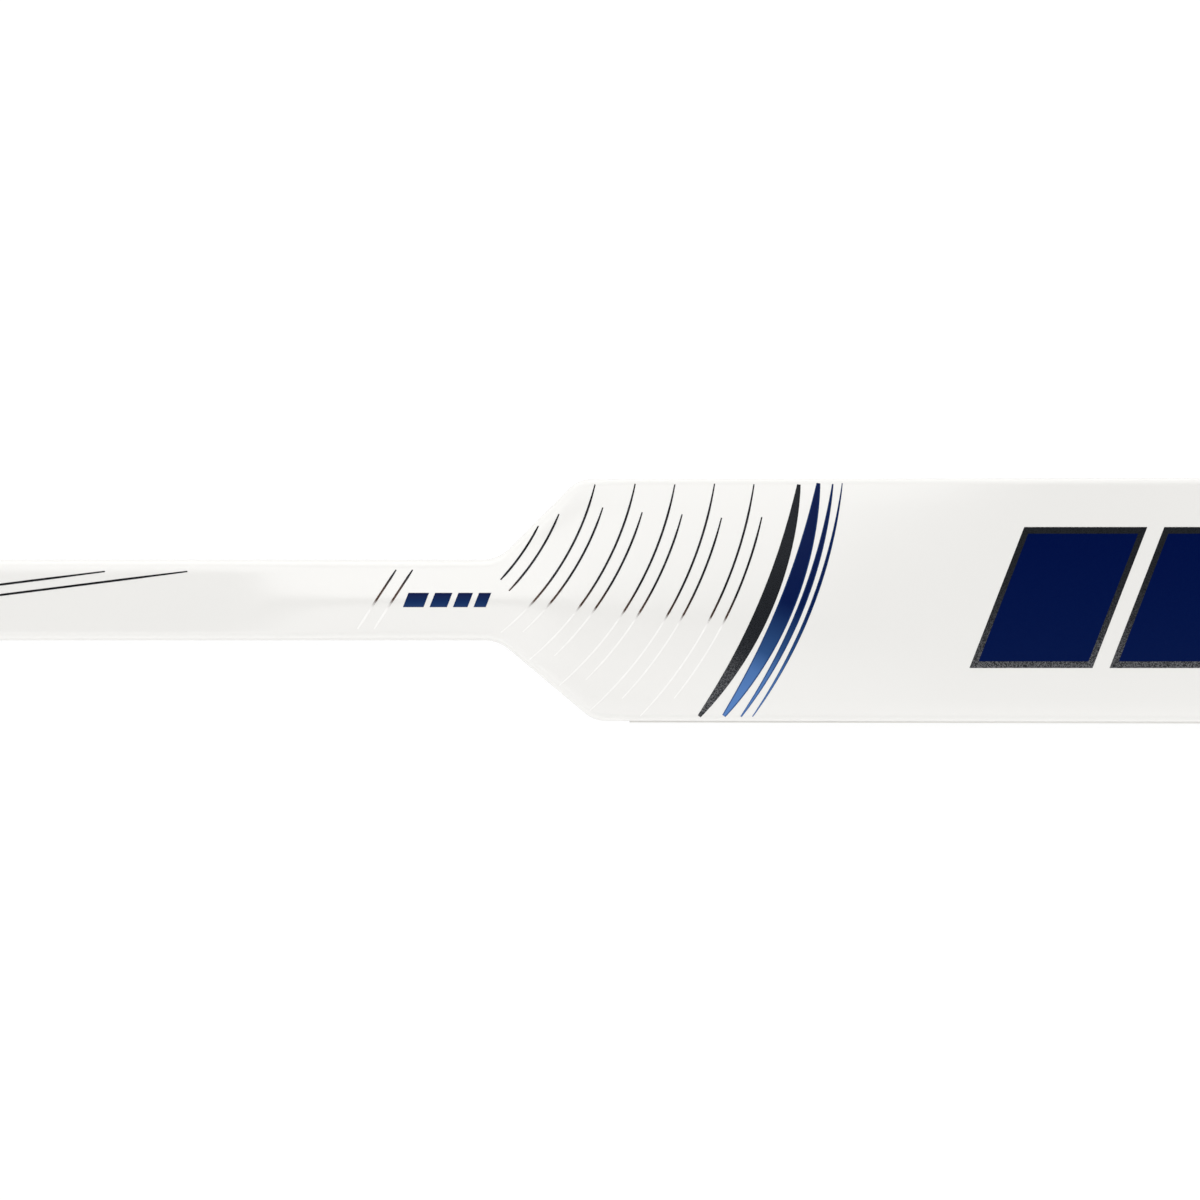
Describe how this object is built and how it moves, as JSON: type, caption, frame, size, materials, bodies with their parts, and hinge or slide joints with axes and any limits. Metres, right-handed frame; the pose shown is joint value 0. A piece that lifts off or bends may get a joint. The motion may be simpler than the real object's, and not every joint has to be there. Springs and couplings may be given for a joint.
{
  "type": "hockey goalkeeper stick",
  "caption": "Ice-hockey goalkeeper's stick: a hollow shaft with a ridged grip flares into a broad flat paddle and ends in an angled blade that curves at the toe.",
  "frame": {"origin": "on the flat back face, on the shaft's centre line, level with the lower shoulder where the paddle reaches its full width", "axes": "+X down the stick from the butt to the heel, +Y across the paddle towards the side the blade points to, +Z out of the front face"},
  "size_m": [1.702, 0.3726, 0.0308],
  "materials": {
    "painted_laminate": "gloss white paint under clear coat",
    "painted_filler": "gloss white paint",
    "edge_plastic": "satin grey",
    "carbon_laminate": "raw carbon laminate",
    "foam": "cut foam",
    "cap_rubber": "moulded",
    "print_foil": "printed metallic foil stripes, dark to pale",
    "print_blue": "printed navy lacquer",
    "print_flake": "printed dark lacquer with silver flake"
  },
  "bodies": {
    "root": {"blade_back_skin": "painted_laminate", "blade_front_skin": "painted_laminate", "blade_rib": "carbon_laminate", "butt_cap": "cap_rubber", "heel_block": "painted_filler", "lower_blade_core": "foam", "lower_foam_core": "foam", "lower_rail": "edge_plastic", "lower_throat_block": "painted_filler", "paddle_back_skin": "painted_laminate", "paddle_front_skin": "painted_laminate", "paddle_spine": "carbon_laminate", "shaft_tube": "painted_laminate", "sole_strip": "edge_plastic", "toe_cap": "edge_plastic", "top_strip": "painted_filler", "upper_blade_core": "foam", "upper_foam_core": "foam", "upper_rail": "painted_filler", "upper_throat_block": "painted_filler"}
  },
  "joints": []
}
